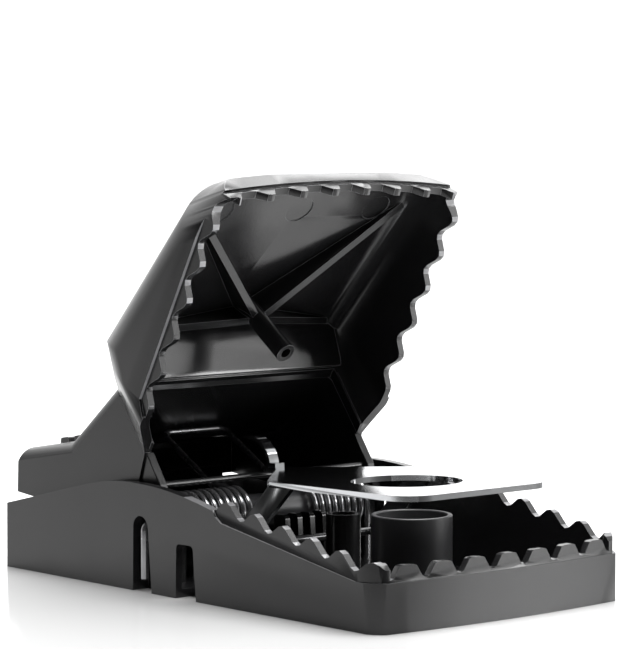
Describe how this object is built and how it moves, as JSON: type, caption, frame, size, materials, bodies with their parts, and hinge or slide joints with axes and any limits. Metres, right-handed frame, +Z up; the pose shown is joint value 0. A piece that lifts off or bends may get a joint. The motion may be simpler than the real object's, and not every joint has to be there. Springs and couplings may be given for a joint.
{
  "type": "snap mouse trap",
  "caption": "Set snap trap: toothed plastic tray and hinged toothed jaw with setting lever, double torsion spring, steel trigger plate over a lift-out bait cup.",
  "frame": {"origin": "on the ground under the middle of the tray", "axes": "+X to the right across the tray and along the hinge, +Y towards the rear end under the setting lever, +Z up; the mouth faces -Y"},
  "size_m": [0.054, 0.097, 0.0678],
  "materials": {
    "black_plastic": "satin moulded",
    "soft_black": "fine matte",
    "plate_steel": "bright rolled steel",
    "spring_steel": "bright drawn wire",
    "wire_steel": "bright drawn wire"
  },
  "bodies": {
    "tray": {"base_tray": "black_plastic", "hinge_axle": "wire_steel", "spring_sleeve": "soft_black", "spring_coil_left": "spring_steel", "spring_coil_right": "spring_steel", "trigger_axle": "wire_steel"},
    "jaw": {"upper_jaw": "black_plastic", "setting_lever": "black_plastic", "jaw_arm_left": "black_plastic", "jaw_arm_right": "black_plastic", "latch_bar": "black_plastic", "spring_bail": "spring_steel"},
    "trigger": {"trigger_plate": "plate_steel", "catch_hook": "plate_steel"},
    "cup": {"bait_cup": "soft_black"}
  },
  "joints": [
    {"name": "jaw_hinge", "type": "hinge", "parent": "tray", "child": "jaw", "pos_m": [0, 0.0099, 0.01105], "axis": [1, 0, 0], "range_deg": [0, 70.7]},
    {"name": "trigger_tilt", "type": "hinge", "parent": "tray", "child": "trigger", "pos_m": [0, -0.0014, 0.0076], "axis": [1, 0, 0], "range_deg": [0, 17]},
    {"name": "cup_slide", "type": "slide", "parent": "tray", "child": "cup", "axis": [0, 0, -1], "range_m": [0, 0.02]}
  ],
  "couplings": [
    {"joint": "trigger_tilt", "follows": "jaw_hinge", "ratio": 0.24045}
  ]
}
